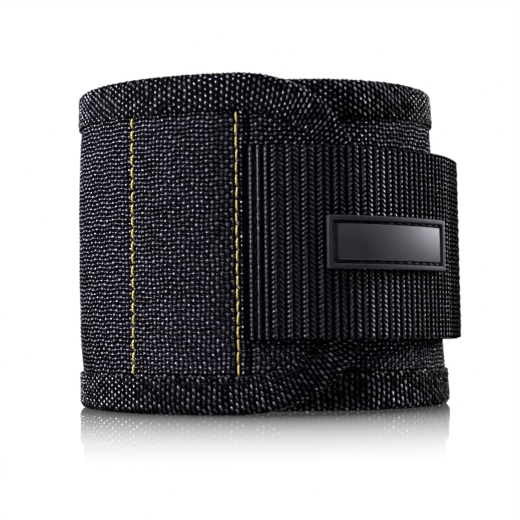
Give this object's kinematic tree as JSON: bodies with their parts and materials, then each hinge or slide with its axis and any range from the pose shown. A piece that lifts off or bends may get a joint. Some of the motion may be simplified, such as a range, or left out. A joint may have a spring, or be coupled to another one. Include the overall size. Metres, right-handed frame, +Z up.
{
  "type": "magnetic wristband",
  "caption": "Padded tool wristband with magnets sewn into its pockets, closed into a loop by an elastic hook and loop strap.",
  "frame": {"origin": "middle of the box round the part, at the height of the band's foot", "axes": "+Z up along the loop's axis, -Y towards the front with the tongue, +X towards the strap's free end"},
  "size_m": [0.1094, 0.1048, 0.088],
  "materials": {
    "panel_nylon": "coarse basket weave, dull sheen",
    "binding_tape": "woven tape",
    "foam": "matt open cell foam",
    "lining_mesh": "fine mesh",
    "seam_thread": "twisted thread, slight gloss",
    "elastic_webbing": "ribbed elastic webbing",
    "loop_pile": "napped loops",
    "hook_tape": "moulded hooks",
    "label_rubber": "matt moulded",
    "magnet": "nickel plate"
  },
  "bodies": {
    "back": {"back_shell": "panel_nylon", "back_foam": "foam", "back_lining": "lining_mesh", "back_binding_top": "binding_tape", "back_binding_bottom": "binding_tape", "back_binding_end": "binding_tape", "loop_patch": "loop_pile", "back_seam_thread_1": "seam_thread", "back_seam_thread_2": "seam_thread", "back_magnet_1": "magnet", "back_magnet_2": "magnet", "back_magnet_3": "magnet", "back_magnet_4": "magnet", "back_magnet_5": "magnet", "back_magnet_6": "magnet", "back_magnet_7": "magnet", "back_magnet_8": "magnet", "back_magnet_9": "magnet", "back_magnet_10": "magnet"},
    "pocket": {"pocket_shell": "panel_nylon", "pocket_foam": "foam", "pocket_lining": "lining_mesh", "pocket_binding_top": "binding_tape", "pocket_binding_bottom": "binding_tape", "pocket_seam_thread": "seam_thread", "pocket_magnet_1": "magnet", "pocket_magnet_2": "magnet", "pocket_magnet_3": "magnet", "pocket_magnet_4": "magnet", "pocket_magnet_5": "magnet"},
    "tongue": {"tongue_shell": "panel_nylon", "tongue_foam": "foam", "tongue_lining": "lining_mesh", "tongue_binding": "binding_tape", "tongue_seam_thread": "seam_thread", "strap_root": "elastic_webbing"},
    "strap": {"strap_middle": "elastic_webbing", "strap_middle_hooks": "hook_tape", "label_patch": "label_rubber"},
    "strap_tip": {"strap_end": "elastic_webbing", "strap_end_hooks": "hook_tape"}
  },
  "joints": [
    {"name": "front_seam_fold", "type": "hinge", "parent": "back", "child": "pocket", "pos_m": [-0.0375, -0.03787, 0.044], "axis": [0, 0, -1], "range_deg": [0, 40]},
    {"name": "tongue_seam_fold", "type": "hinge", "parent": "pocket", "child": "tongue", "pos_m": [-0.00899, -0.05059, 0.044], "axis": [0, 0, -1], "range_deg": [0, 35]},
    {"name": "strap_peel", "type": "hinge", "parent": "tongue", "child": "strap", "pos_m": [0.00258, -0.05204, 0.0442], "axis": [0.0018, 0, -1], "range_deg": [0, 80]},
    {"name": "strap_tip_peel", "type": "hinge", "parent": "strap", "child": "strap_tip", "pos_m": [0.0486, -0.02187, 0.0442], "axis": [0.0522, 0, -0.9986], "range_deg": [0, 45]}
  ]
}
